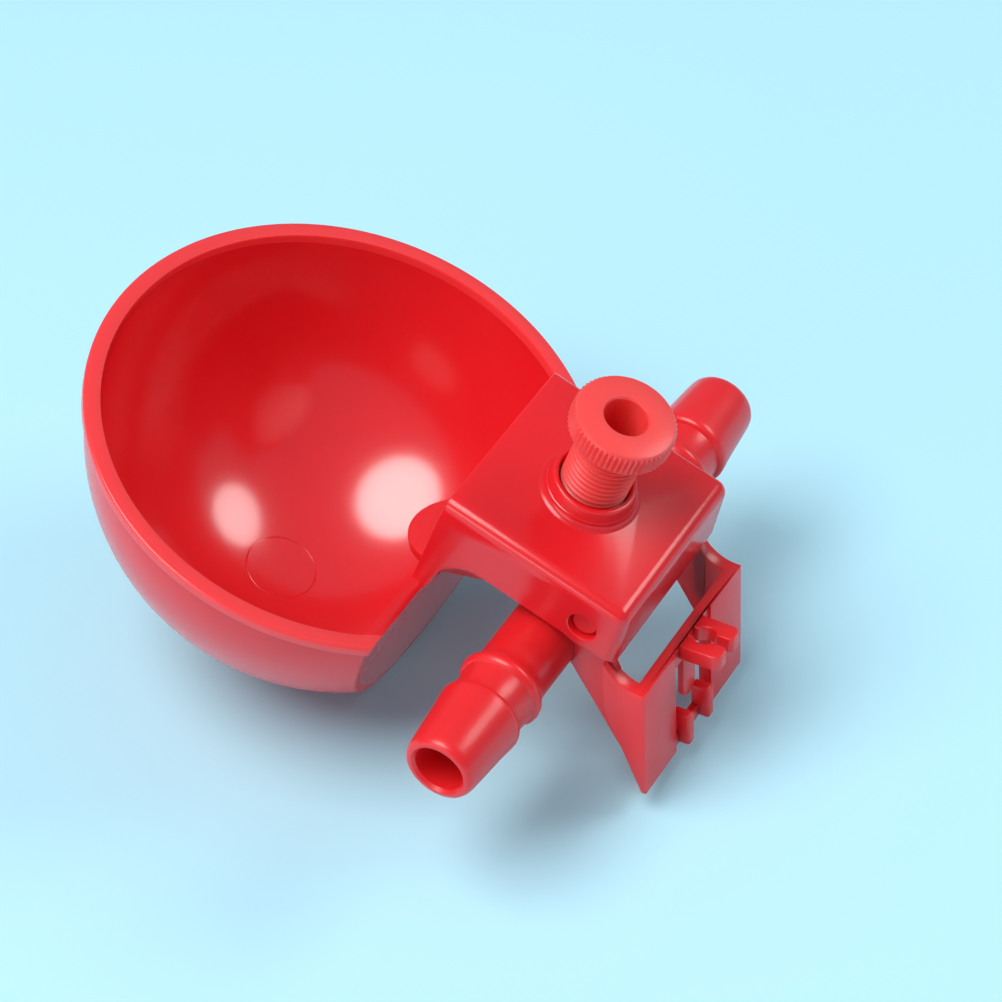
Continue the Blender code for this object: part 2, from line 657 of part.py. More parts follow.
def pad_foot():
    """Height of the pad's underside in the cup's frame, just off the nozzle when the cup is down."""
    return seat_height() + NOZZLE_HEIGHT + FIT


def make_plunger(material):
    """The plunger: a flange in the screw's socket and a stem with a pin for the pad."""
    top = socket_ceiling() - FIT
    low = top - FLANGE_THICKNESS
    stem_end = pad_foot() + PAD_THICKNESS + FIT
    flange = SCREW_SOCKET_RADIUS - FIT
    pin_end = stem_end - STEM_PIN_LENGTH
    plunger = turned("plunger", [
        (0.0, top), (flange, top), (flange, low), (STEM_RADIUS, low), (STEM_RADIUS, stem_end),
        (STEM_PIN_RADIUS, stem_end), (STEM_PIN_RADIUS, pin_end), (0.0, pin_end)], steps=SMALL_STEPS)
    return finish_piece(plunger, "plunger", material)


def make_pad(material):
    """The rubber pad that shuts the nozzle, pushed over the plunger's pin."""
    top = pad_foot() + PAD_THICKNESS
    depth = STEM_PIN_LENGTH
    hole = STEM_PIN_RADIUS + FIT
    low = top - PAD_THICKNESS
    pad = turned("pad", [
        (0.0, top - depth), (hole, top - depth), (hole, top), (PAD_RADIUS - 0.2 * MM, top),
        (PAD_RADIUS, top - 0.2 * MM), (PAD_RADIUS, low), (0.0, low)], steps=SMALL_STEPS)
    return finish_piece(pad, "valve_pad", material)


def make_spring(material):
    """The spring between the hub's shoulder and the plunger's flange, straight from seat to seat."""
    down = cup_matrix(CUP_RAISE - CUP_TRAVEL)
    low = down @ Vector((0, SCREW_Y, seat_height()))
    flange = socket_ceiling() - FIT - FLANGE_THICKNESS
    high = cup_matrix(CUP_RAISE) @ Vector((0, SCREW_Y, flange))
    axis = (high - low).normalized()
    start = low + axis * (SPRING_WIRE_RADIUS + 2.5 * FIT)
    rise = (high - low).length - 2 * (SPRING_WIRE_RADIUS + 2.5 * FIT)
    curve = bpy.data.curves.new("spring", "CURVE")
    curve.dimensions = "3D"
    curve.bevel_depth = SPRING_WIRE_RADIUS
    curve.bevel_resolution = 2
    curve.use_fill_caps = True
    count = int(SPRING_TURNS * SPRING_STEPS)
    spline = curve.splines.new("POLY")
    spline.points.add(count)
    turn = Vector((0, 0, 1)).rotation_difference(axis).to_matrix()
    for step, point in enumerate(spline.points):
        angle = 2 * math.pi * SPRING_TURNS * step / count
        spot = Vector((SPRING_RADIUS * math.cos(angle), SPRING_RADIUS * math.sin(angle), rise * step / count))
        point.co = (*(start + turn @ spot), 1.0)
    spring = freeze(add_object("spring", curve, CUTTERS))
    return finish_piece(spring, "return_spring", material)


def hang_on_cup(pieces):
    """Parent the cup to an empty on the pivot and hang the screw, plunger and pad in it."""
    pivot = bpy.data.objects.new("cup_pivot", None)
    PARTS.objects.link(pivot)
    pivot.location = PIVOT
    pivot.rotation_euler = (-CUP_RAISE, 0.0, 0.0)
    for piece, offset in pieces:
        piece.parent = pivot
        piece.location = (0.0, offset - CUP_PIVOT_Y, -CUP_PIVOT_Z)


clear_scene()
PARTS = new_collection("poultry_drinking_cup")
CUTTERS = new_collection("cutters")
RED_PLASTIC = new_material("red_plastic", RED, 0.28)
RED_BODY_PLASTIC = new_material("red_body_plastic", RED_BASE, 0.30)
PAD_RUBBER = new_material("pad_rubber", WHITE_RUBBER, 0.7)
SPRING_STEEL = new_material("spring_steel", STEEL, 0.3, 1.0)

make_valve_body(RED_BODY_PLASTIC)
make_spring(SPRING_STEEL)
hang_on_cup([
    (make_cup(RED_PLASTIC), 0.0),
    (make_screw(RED_PLASTIC), SCREW_Y),
    (make_plunger(RED_BODY_PLASTIC), SCREW_Y),
    (make_pad(PAD_RUBBER), SCREW_Y),
])
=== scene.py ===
import json
import math

import bpy
from mathutils import Matrix, Vector


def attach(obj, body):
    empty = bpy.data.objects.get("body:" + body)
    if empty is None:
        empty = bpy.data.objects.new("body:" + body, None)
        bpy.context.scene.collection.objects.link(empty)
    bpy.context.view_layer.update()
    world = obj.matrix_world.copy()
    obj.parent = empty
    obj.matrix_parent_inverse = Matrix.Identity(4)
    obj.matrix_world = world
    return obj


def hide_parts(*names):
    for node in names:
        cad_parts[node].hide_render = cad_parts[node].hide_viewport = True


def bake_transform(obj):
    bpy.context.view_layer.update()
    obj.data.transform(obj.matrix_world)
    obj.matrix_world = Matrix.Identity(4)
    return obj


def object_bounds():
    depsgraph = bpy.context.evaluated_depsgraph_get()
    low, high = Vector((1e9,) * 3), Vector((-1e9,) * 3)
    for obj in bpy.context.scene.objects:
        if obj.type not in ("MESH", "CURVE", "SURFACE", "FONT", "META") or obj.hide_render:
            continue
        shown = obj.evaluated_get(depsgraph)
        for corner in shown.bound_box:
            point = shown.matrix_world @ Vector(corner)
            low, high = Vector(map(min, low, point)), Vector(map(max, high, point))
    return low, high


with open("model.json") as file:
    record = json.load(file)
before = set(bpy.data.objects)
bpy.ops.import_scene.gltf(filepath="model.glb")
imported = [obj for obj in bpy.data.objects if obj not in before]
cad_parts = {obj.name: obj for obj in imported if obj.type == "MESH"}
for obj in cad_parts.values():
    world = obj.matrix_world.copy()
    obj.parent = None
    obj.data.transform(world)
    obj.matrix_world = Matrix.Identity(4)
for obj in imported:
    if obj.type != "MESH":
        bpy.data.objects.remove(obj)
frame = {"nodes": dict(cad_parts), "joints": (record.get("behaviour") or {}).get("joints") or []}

cad_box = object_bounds()
node = frame["nodes"]
bpy.ops.object.select_all(action="DESELECT")

# The camera
# A long lens looks down on the drinker from its right-hand rear, as the photograph does.
camera_data = bpy.data.cameras.new("camera")
camera_data.lens = 125.7
camera_data.sensor_width = 36.0
camera_data.clip_start = 0.01
camera = bpy.data.objects.new("camera", camera_data)
bpy.context.scene.collection.objects.link(camera)
view_right = Vector((-0.49182, 0.86968, -0.04205))
view_down = Vector((0.60205, 0.30479, -0.73799))
view_forward = Vector((-0.62900, -0.38827, -0.67350))
camera_place = Vector((0.32630, 0.16945, 0.37220))
camera.matrix_world = Matrix((
    (view_right.x, -view_down.x, -view_forward.x, camera_place.x),
    (view_right.y, -view_down.y, -view_forward.y, camera_place.y),
    (view_right.z, -view_down.z, -view_forward.z, camera_place.z),
    (0, 0, 0, 1)))
bpy.context.scene.camera = camera
bpy.context.scene.view_settings.view_transform = "Standard"

# The table and the studio
# A pale blue sheet lies under the bowl. A round soft box hangs at each side, with a low fill at the left.
sheet_gap = 0.0002
sheet_height = cad_box[0][2] - sheet_gap
bpy.ops.mesh.primitive_plane_add(size=6.0, location=(0, 0, sheet_height))
sheet = bpy.context.object
sheet.name = "table_sheet"
bpy.ops.object.transform_apply(location=True, rotation=False, scale=True)
sheet_blue = bpy.data.materials.new("table_blue")
sheet_blue.use_nodes = True
sheet_shader = sheet_blue.node_tree.nodes["Principled BSDF"]
sheet_shader.inputs["Base Color"].default_value = (0.485, 0.80, 0.93, 1)
sheet_shader.inputs["Roughness"].default_value = 0.75
sheet_shader.inputs["Specular IOR Level"].default_value = 0.2
sheet.data.materials.append(sheet_blue)
lamp_aim = Vector((0, -0.045, 0.01))


def hang_soft_box(name, direction, distance, width, height, energy, tint):
    """A rounded lamp that faces the middle of the drinker from this direction."""
    lamp_data = bpy.data.lights.new(name, "AREA")
    lamp_data.shape = "ELLIPSE"
    lamp_data.size = width
    lamp_data.size_y = height
    lamp_data.energy = energy
    lamp_data.color = tint
    lamp = bpy.data.objects.new(name, lamp_data)
    bpy.context.scene.collection.objects.link(lamp)
    towards_lamp = Vector(direction).normalized()
    lamp.location = lamp_aim + towards_lamp * distance
    lamp.rotation_euler = towards_lamp.to_track_quat("Z", "Y").to_euler()


hang_soft_box("left_soft_box", (0.378, -0.207, 0.902), 1.2, 0.86, 0.86, 13.2, (1.0, 0.99, 0.97))
hang_soft_box("right_soft_box", (-0.50, 0.60, 0.62), 0.75, 0.38, 0.30, 1.5, (1.0, 0.98, 0.96))
hang_soft_box("low_fill", (0.88, -0.28, 0.21), 2.0, 2.0, 0.62, 9.3, (1.0, 0.99, 0.97))
world = bpy.data.worlds.new("studio")
bpy.context.scene.world = world
world.use_nodes = True
sky = world.node_tree.nodes["Background"]
sky.inputs["Color"].default_value = (0.60, 0.86, 1.0, 1)
sky.inputs["Strength"].default_value = 0.33

# The places that the pieces share
# The cup and its screw are drawn level, in the cup's own axes, with their zero in the middle of the rim.
# The frame names the pivot that the cup swings on. Outlines are in millimetres, and angles in degrees.
MM = 0.001
CUP_RAISE = 21.2
SCREW_Y = 37.3
cup_tilt = next(joint for joint in frame["joints"] if joint["name"] == "cup_tilt")
cup_travel = cup_tilt["range_deg"][1]
pivot = Vector(cup_tilt["pos_m"])
pivot_in_cup = Vector((0, 47.8 * MM, 12.4 * MM))


def cup_pose(raised):
    """Where the cup's own axes lie in the frame with the cup raised by this angle."""
    return (Matrix.Translation(pivot) @ Matrix.Rotation(-math.radians(raised), 4, "X")
            @ Matrix.Translation(-pivot_in_cup))


cup_place = cup_pose(CUP_RAISE)
cup_down = cup_pose(CUP_RAISE - cup_travel)
at_pivot = Matrix.Translation(pivot)
at_screw = Matrix.Translation((0, SCREW_Y * MM, 0))

# The modelling steps that the pieces share
# Solids are spun or extruded from an outline, rounded, and joined or cut with each other.


def turn_to_x(side=1):
    """The turn that lays the Z axis of a spun solid along X, towards this side."""
    return Matrix.Rotation(side * math.pi / 2, 4, "Y")


def arc(center, radius, start, end, count):
    """Points along an arc of the outline, in millimetres and degrees."""
    return [(center[0] + radius * math.cos(math.radians(start + (end - start) * step / count)),
             center[1] + radius * math.sin(math.radians(start + (end - start) * step / count)))
            for step in range(count + 1)]


def box_outline(left, low, right, high):
    """The four corners of a rectangle."""
    return [(left, low), (right, low), (right, high), (left, high)]


def draw_ring(name, points, fill):
    """A circle whose corners are set to these points in millimetres, left open or filled."""
    bpy.ops.object.select_all(action="DESELECT")
    bpy.ops.mesh.primitive_circle_add(vertices=len(points), fill_type=fill)
    piece = bpy.context.object
    piece.name = name
    piece.data.name = name
    for vertex, point in zip(piece.data.vertices, points):
        vertex.co = Vector(point) * MM
    return piece


def close_up(piece):
    """Merge doubled points, drop what has no area and turn every face outwards."""
    bpy.ops.mesh.select_all(action="SELECT")
    bpy.ops.mesh.remove_doubles(threshold=0.000002)
    bpy.ops.mesh.delete_loose(use_verts=True, use_edges=True, use_faces=False)
    bpy.ops.mesh.select_all(action="SELECT")
    bpy.ops.mesh.normals_make_consistent(inside=False)
    bpy.ops.object.mode_set(mode="OBJECT")
    return piece


def spin_solid(name, outline, steps, place=Matrix()):
    """A closed outline of (radius, height) spun about Z, then set in its place."""
    piece = draw_ring(name, [(radius, 0, height) for radius, height in outline], "NOTHING")
    bpy.ops.object.mode_set(mode="EDIT")
    bpy.ops.mesh.select_all(action="SELECT")
    bpy.ops.mesh.spin(steps=steps, angle=2 * math.pi, center=(0, 0, 0), axis=(0, 0, 1))
    close_up(piece)
    piece.data.transform(place)
    return piece


def extrude_solid(name, outline, plane, low, high):
    """A flat outline in the plane YZ, XZ or XY, extruded from low to high along the third axis."""
    spots = {"YZ": [(low, across, up) for across, up in outline],
             "XZ": [(across, low, up) for across, up in outline],
             "XY": [(across, up, low) for across, up in outline]}[plane]
    step = {"YZ": (high - low, 0, 0), "XZ": (0, high - low, 0), "XY": (0, 0, high - low)}[plane]
    piece = draw_ring(name, spots, "NGON")
    bpy.ops.object.mode_set(mode="EDIT")
    bpy.ops.mesh.select_all(action="SELECT")
    bpy.ops.mesh.extrude_region_move(TRANSFORM_OT_translate={"value": Vector(step) * MM})
    return close_up(piece)


def soften(piece, width, segments=3, angle=35):
    """Round every edge sharper than the angle."""
    bevel = piece.modifiers.new("Bevel", "BEVEL")
    bevel.width = width * MM
    bevel.segments = segments
    bevel.limit_method = "ANGLE"
    bevel.angle_limit = math.radians(angle)
    bpy.context.view_layer.objects.active = piece
    bpy.ops.object.modifier_apply(modifier=bevel.name)
    return piece


def bevel_where(piece, wanted, width, segments):
    """Round only the edges whose two ends pass this test, which gets them in millimetres."""
    bpy.ops.object.select_all(action="DESELECT")
    bpy.context.view_layer.objects.active = piece
    piece.select_set(True)
    bpy.ops.object.mode_set(mode="EDIT")
    bpy.ops.mesh.select_mode(type="EDGE")
    bpy.ops.mesh.select_all(action="DESELECT")
    bpy.ops.object.mode_set(mode="OBJECT")
    spots = [vertex.co / MM for vertex in piece.data.vertices]
    for edge in piece.data.edges:
        edge.select = wanted(spots[edge.vertices[0]], spots[edge.vertices[1]])
    bpy.ops.object.mode_set(mode="EDIT")
    bpy.ops.mesh.bevel(offset=width * MM, segments=segments, affect="EDGES", clamp_overlap=True)
    bpy.ops.object.mode_set(mode="OBJECT")


def merge_solid(piece, other, operation="UNION"):
    """Add the second solid to the first, or cut it out of the first, and drop the second."""
    boolean = piece.modifiers.new("Boolean", "BOOLEAN")
    boolean.operation = operation
    boolean.solver = "EXACT"
    boolean.object = other
    bpy.ops.object.select_all(action="DESELECT")
    bpy.context.view_layer.objects.active = piece
    bpy.ops.object.modifier_apply(modifier=boolean.name)
    bpy.data.objects.remove(other, do_unlink=True)


def cut_solid(piece, other):
    """Cut the second solid out of the first."""
    merge_solid(piece, other, "DIFFERENCE")


def fuse(piece, other):
    """Make the second solid one object with the first. They overlap out of sight."""
    bpy.ops.object.select_all(action="DESELECT")
    other.select_set(True)
    piece.select_set(True)
    bpy.context.view_layer.objects.active = piece
    bpy.ops.object.join()


def finish_moulding(piece, material, angle=32):
    """Drop a finished piece's slivers, shade it smooth between its edges and give it its material."""
    bpy.ops.object.select_all(action="DESELECT")
    bpy.context.view_layer.objects.active = piece
    piece.select_set(True)
    bpy.ops.object.mode_set(mode="EDIT")
    bpy.ops.mesh.select_mode(type="VERT")
    bpy.ops.mesh.select_all(action="SELECT")
    bpy.ops.mesh.dissolve_degenerate(threshold=0.000001)
    bpy.ops.object.mode_set(mode="OBJECT")
    bpy.ops.object.shade_smooth_by_angle(angle=math.radians(angle))
    piece.data.materials.clear()
    piece.data.materials.append(material)


# The red plastic
# All three mouldings are of one glossy plastic that lets a little light in, each in its own shade of red.
# It comes from the mould with faint flow marks and a slight orange peel.


def add_maths(group, operation, *values):
    """The output of a maths node that works on these numbers and outputs of other nodes."""
    step = group.nodes.new("ShaderNodeMath")
    step.operation = operation
    for socket, value in zip(step.inputs, values):
        if isinstance(value, bpy.types.NodeSocket):
            group.links.new(value, socket)
        else:
            socket.default_value = value
    return step.outputs["Value"]


def make_moulded_skin():
    """Shader group for the moulded surface: flow marks in colour and gloss, and the height of the peel."""
    group = bpy.data.node_groups.new("moulded_skin", "ShaderNodeTree")
    sockets = group.interface
    for label, kind, value in (("Colour", "NodeSocketColor", (0.7, 0.02, 0.02, 1)),
                               ("Deep Colour", "NodeSocketColor", (0.5, 0.01, 0.01, 1)),
                               ("Roughness", "NodeSocketFloat", 0.2), ("Flow Size", "NodeSocketFloat", 30.0),
                               ("Peel Size", "NodeSocketFloat", 700.0)):
        sockets.new_socket(name=label, in_out="INPUT", socket_type=kind).default_value = value
    for label, kind in (("Colour", "NodeSocketColor"), ("Roughness", "NodeSocketFloat"),
                        ("Height", "NodeSocketFloat")):
        sockets.new_socket(name=label, in_out="OUTPUT", socket_type=kind)
    nodes, links = group.nodes, group.links
    given = nodes.new("NodeGroupInput")
    out = nodes.new("NodeGroupOutput")
    place = nodes.new("ShaderNodeTexCoord")
    flow = nodes.new("ShaderNodeTexNoise")
    flow.inputs["Detail"].default_value = 2.0
    flow.inputs["Distortion"].default_value = 0.4
    links.new(place.outputs["Object"], flow.inputs["Vector"])
    links.new(given.outputs["Flow Size"], flow.inputs["Scale"])
    peel = nodes.new("ShaderNodeTexNoise")
    peel.inputs["Detail"].default_value = 2.0
    links.new(place.outputs["Object"], peel.inputs["Vector"])
    links.new(given.outputs["Peel Size"], peel.inputs["Scale"])
    blend = nodes.new("ShaderNodeMix")
    blend.data_type = "RGBA"
    links.new(flow.outputs["Fac"], blend.inputs["Factor"])
    links.new(given.outputs["Colour"], blend.inputs["A"])
    links.new(given.outputs["Deep Colour"], blend.inputs["B"])
    links.new(blend.outputs["Result"], out.inputs["Colour"])
    flow_share = 0.06
    roughness = add_maths(group, "MULTIPLY_ADD", flow.outputs["Fac"], flow_share, given.outputs["Roughness"])
    links.new(roughness, out.inputs["Roughness"])
    links.new(peel.outputs["Fac"], out.inputs["Height"])
    return group


moulded_skin = make_moulded_skin()


def make_red_plastic(name, colour, deep_colour, roughness, flow_size, peel_depth):
    """Glossy pigmented plastic that lets a little light in under its surface."""
    plastic = bpy.data.materials.new(name)
    plastic.use_nodes = True
    nodes, links = plastic.node_tree.nodes, plastic.node_tree.links
    shader = nodes["Principled BSDF"]
    skin = nodes.new("ShaderNodeGroup")
    skin.node_tree = moulded_skin
    skin.inputs["Colour"].default_value = (*colour, 1)
    skin.inputs["Deep Colour"].default_value = (*deep_colour, 1)
    skin.inputs["Roughness"].default_value = roughness
    skin.inputs["Flow Size"].default_value = flow_size
    bump = nodes.new("ShaderNodeBump")
    bump.inputs["Strength"].default_value = 0.35
    bump.inputs["Distance"].default_value = peel_depth
    links.new(skin.outputs["Colour"], shader.inputs["Base Color"])
    links.new(skin.outputs["Roughness"], shader.inputs["Roughness"])
    links.new(skin.outputs["Height"], bump.inputs["Height"])
    links.new(bump.outputs["Normal"], shader.inputs["Normal"])
    shader.inputs["IOR"].default_value = 1.5
    shader.inputs["Coat Weight"].default_value = 0.1
    shader.inputs["Coat Roughness"].default_value = 0.14
    shader.inputs["Coat IOR"].default_value = 1.6
    shader.inputs["Subsurface Weight"].default_value = 0.6
    shader.inputs["Subsurface Radius"].default_value = (0.006, 0.0004, 0.0003)
    shader.inputs["Subsurface Scale"].default_value = 0.8
    return plastic


# The cup
# One moulding: a round bowl closed by a flat wall, with the hood for the valve on the wall.
# The inside of the bowl is polished, and its rim is painted a lighter red as the glow of light shining
# through it.
bowl_low = -1.5
bowl_radius = 39.0
bowl_inner_radius = 37.45


def make_bowl_polish_and_glow(centre, up):
    """Shader group that marks the polished inside of the bowl, and its rim, where a lighter red is painted as
    the glow of light shining through.
    """
    polished_reach, polished_height = 38.0 * MM, 1.1 * MM
    rim_reach, rim_height, rim_depth = 37.3 * MM, -bowl_low * MM, 1.75 * MM
    group = bpy.data.node_groups.new("bowl_polish_and_glow", "ShaderNodeTree")
    for label in ("Coat Weight", "Painted Rim Glow"):
        group.interface.new_socket(name=label, in_out="OUTPUT", socket_type="NodeSocketFloat")
    nodes, links = group.nodes, group.links
    place = nodes.new("ShaderNodeTexCoord")
    away = nodes.new("ShaderNodeVectorMath")
    away.operation = "SUBTRACT"
    away.inputs[1].default_value = centre
    links.new(place.outputs["Object"], away.inputs[0])
    reach = nodes.new("ShaderNodeVectorMath")
    reach.operation = "LENGTH"
    links.new(away.outputs["Vector"], reach.inputs[0])
    height = nodes.new("ShaderNodeVectorMath")
    height.operation = "DOT_PRODUCT"
    height.inputs[1].default_value = up
    links.new(away.outputs["Vector"], height.inputs[0])
    inside = add_maths(group, "LESS_THAN", reach.outputs["Value"], polished_reach)
    below = add_maths(group, "LESS_THAN", height.outputs["Value"], polished_height)
    coat = nodes.new("ShaderNodeMapRange")
    coat.inputs["To Min"].default_value = 0.12
    coat.inputs["To Max"].default_value = 0.9
    links.new(add_maths(group, "MULTIPLY", inside, below), coat.inputs["Value"])
    # The band for the painted glow: near the rim's height and beyond the inside of the bowl.
    near_rim = add_maths(group, "COMPARE", height.outputs["Value"], rim_height, rim_depth)
    beyond = add_maths(group, "GREATER_THAN", reach.outputs["Value"], rim_reach)
    out = nodes.new("NodeGroupOutput")
    links.new(coat.outputs["Result"], out.inputs["Coat Weight"])
    links.new(add_maths(group, "MULTIPLY", near_rim, beyond), out.inputs["Painted Rim Glow"])
    return group


cup_red = make_red_plastic("cup_red", (0.84, 0.014, 0.021), (0.75, 0.008, 0.014), 0.20, 28.0, 0.00004)
cup_nodes, cup_links = cup_red.node_tree.nodes, cup_red.node_tree.links
cup_shader = cup_nodes["Principled BSDF"]
polish_and_glow = cup_nodes.new("ShaderNodeGroup")
polish_and_glow.node_tree = make_bowl_polish_and_glow(cup_place @ Vector((0, 0, bowl_low * MM)), cup_place.col[2].xyz)
cup_links.new(polish_and_glow.outputs["Coat Weight"], cup_shader.inputs["Coat Weight"])
# Painted glow: the rim's colour is mixed towards a lighter red, which stands in for light shining through it.
rim_painted_glow = cup_nodes.new("ShaderNodeMix")
rim_painted_glow.data_type = "RGBA"
rim_painted_glow.inputs["B"].default_value = (0.93, 0.05, 0.055, 1)
cup_links.new(polish_and_glow.outputs["Painted Rim Glow"], rim_painted_glow.inputs["Factor"])
cup_links.new(cup_shader.inputs["Base Color"].links[0].from_socket, rim_painted_glow.inputs["A"])
cup_links.new(rim_painted_glow.outputs["Result"], cup_shader.inputs["Base Color"])

wall_front, wall_back = 22.2, 23.7
at_bowl = Matrix.Translation((0, 0, bowl_low * MM))
about_y = at_bowl @ Matrix.Rotation(math.radians(-90), 4, "X")


def ball_with_flat(radius, flat, round_radius):
    """Outline of a ball cut off by a flat, with a rounded corner between them."""
    corner_height = flat - round_radius
    corner_reach = math.sqrt((radius - round_radius) ** 2 - corner_height ** 2)
    turn = math.degrees(math.atan2(corner_height, corner_reach))
    return ([(0.0, -radius)] + arc((0, 0), radius, -89, turn, 56)
            + arc((corner_reach, corner_height), round_radius, turn, 90, 7)[1:] + [(0.0, flat)])


cup_shell = spin_solid("drinking_cup", ball_with_flat(bowl_radius, wall_back, 0.8), 160, about_y)
bowl_inside = ball_with_flat(bowl_inner_radius, wall_front, 1.1)
cut_solid(cup_shell, spin_solid("bowl_inside", bowl_inside, 160, about_y))
cut_solid(cup_shell, extrude_solid("top_cut", box_outline(-50, -50, 50, 50), "XY", -0.02, 60))

# The long top edge of the flat wall is rounded. The flat rim and the wall's lip lie on the shell.
bevel_where(cup_shell, lambda a, b: abs(a.y - wall_front) < 0.02 and abs(b.y - wall_front) < 0.02
            and a.z > -0.1 and b.z > -0.1 and abs(a.x - b.x) > 20, 0.3, 3)
rim_outline = ([(37.4, -0.7)] + arc((37.78, -0.38), 0.38, 180, 90, 4) + arc((39.6, -0.4), 0.4, 90, 0, 5)
               + arc((39.75, -1.45), 0.25, 0, -90, 3) + [(38.3, -1.7), (38.3, -0.9), (37.6, -0.9)])
rim = spin_solid("rim", rim_outline, 224)
cut_solid(rim, extrude_solid("rim_end", box_outline(-50, 24.3, 50, 60), "XY", -5, 5))
merge_solid(cup_shell, rim)
lip = extrude_solid("wall_lip", box_outline(-31.4, 23.0, 31.4, 24.29), "XY", -1.4, -0.01)
merge_solid(cup_shell, soften(lip, 0.25, 2))

# The hood, its rounded top edges and its hollow.
hood_top, hood_low, hood_half, hollow_half = 19.1, 9.0, 16.5, 14.9
top_round, front_round = 1.8, 0.3
foot_curve, foot_thickness = 6.5, 1.4
hood_curve = arc((wall_back + foot_thickness + foot_curve, hood_low - foot_curve), foot_curve, 90, 180, 14)
hood_front = wall_front - 0.015
hood_side = [(hood_front, -2.7), (hood_front, hood_top), (53.2, hood_top), (54.4, hood_low)] + hood_curve
hood_side += [(wall_back + 1.1, 0.6), (wall_back - 0.1, -3.9)]
hood = extrude_solid("hood", hood_side, "YZ", -hood_half, hood_half)
bevel_where(hood, lambda a, b: (min(a.z, b.z) > hood_top - 0.01 and max(a.y, b.y) > wall_front + 1)
            or (min(a.y, b.y) > 53 and abs(a.z - b.z) > 5), top_round, 8)
bevel_where(hood, lambda a, b: max(a.y, b.y) < wall_front and min(a.z, b.z) > hood_top - top_round - 0.05,
            front_round, 3)
hollow = [(wall_back - 0.03, -8), (wall_back - 0.03, 17.5), (51.6, 17.5), (53.0, 5.0), (53.0, -8)]
cut_solid(hood, extrude_solid("hood_hollow", hollow, "YZ", -hollow_half, hollow_half))

# The collar that the adjusting screw turns in, with the hollow curve at its foot.
collar_outline = ([(0, 22.4), (5.9, 22.4)] + arc((6.0, 22.0), 0.4, 80, 12, 4) + [(6.75, 20.5)]
                  + arc((8.2, 20.35), 1.3, 178, 270, 8) + [(8.3, 19.0), (7.0, 18.2), (0, 18.2)])
merge_solid(hood, spin_solid("collar", collar_outline, 128, at_screw))
screw_hole = [(0, 10), (5.45, 10), (5.45, 22.0), (5.75, 22.5), (5.75, 30), (0, 30)]
cut_solid(hood, spin_solid("screw_hole", screw_hole, 110, at_screw))

# The bosses and holes of the pivot, at both sides.
at_hood_pivot = Matrix.Translation(pivot_in_cup)
boss_outline = [(0, 15.2), (4.1, 15.2), (4.1, 16.2), (3.9, 16.42), (0, 16.42)]
for side in (1, -1):
    merge_solid(hood, spin_solid("boss", boss_outline, 72, at_hood_pivot @ turn_to_x(side)))
hole_mouth, hole_radius = 2.45, 2.3
pivot_hole = [(0, -20), (hole_mouth, -20), (hole_mouth, -16.5), (hole_radius, -16.35), (hole_radius, 16.35),
              (hole_mouth, 16.5), (hole_mouth, 20), (0, 20)]
cut_solid(hood, spin_solid("pivot_hole", pivot_hole, 60, at_hood_pivot @ turn_to_x()))
merge_solid(cup_shell, hood)
cut_solid(cup_shell, extrude_solid("spout_window", box_outline(-7.8, -8.32, 7.8, -0.7), "XZ", 20.2, 26.3))

# The round mark that the mould's ejector leaves in the bottom of the bowl.
mark_radius, groove_radius = 5.7 * MM, 0.16 * MM
mark_turn = math.radians(-2)
mark_depth = 36.98 * MM
bpy.ops.mesh.primitive_torus_add(major_radius=mark_radius, minor_radius=groove_radius, major_segments=72,
                                 minor_segments=8)
mark = bpy.context.object
mark.data.transform(at_bowl @ Matrix.Rotation(mark_turn, 4, "X") @ Matrix.Translation((0, 0, -mark_depth)))
cut_solid(cup_shell, mark)
cup_shell.data.transform(cup_place)
finish_moulding(cup_shell, cup_red)
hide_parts("cup")
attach(cup_shell, "cup")

# The valve body
# The second moulding of the same plastic: hose tee, valve hub, spout, pivot ears and clip plate.
body_red = make_red_plastic("valve_body_red", (0.86, 0.020, 0.026), (0.76, 0.012, 0.017), 0.28, 40.0,
                            0.00006)
pipe_y, pipe_z = -17.7, 13.4
tee_half = 44.3
# Each barbed end as (distance from the middle, radius): the neck, the ridge, the groove and the tapered barb.
hose_end = [(22.9, 5.55), (23.7, 5.62), (24.5, 5.86), (25.2, 6.26), (25.7, 6.52), (26.15, 6.6), (26.6, 6.52),
            (26.95, 6.25), (27.15, 5.98), (27.6, 5.88), (29.4, 5.78), (31.1, 5.72), (31.4, 5.76),
            (31.6, 6.08), (31.85, 6.36), (32.3, 6.5), (33.0, 6.46), (35.7, 6.15), (39.5, 5.85), (42.8, 5.58),
            (43.6, 5.42), (44.1, 5.15), (tee_half, 4.8)]
tee_outline = [(0, -tee_half)] + [(radius, -far) for far, radius in reversed(hose_end)]
tee_outline += [(radius, far) for far, radius in hose_end] + [(0, tee_half)]
along_pipe = Matrix.Translation((0, pipe_y * MM, pipe_z * MM)) @ turn_to_x()
valve_shell = spin_solid("valve_body_moulding", tee_outline, 128, along_pipe)

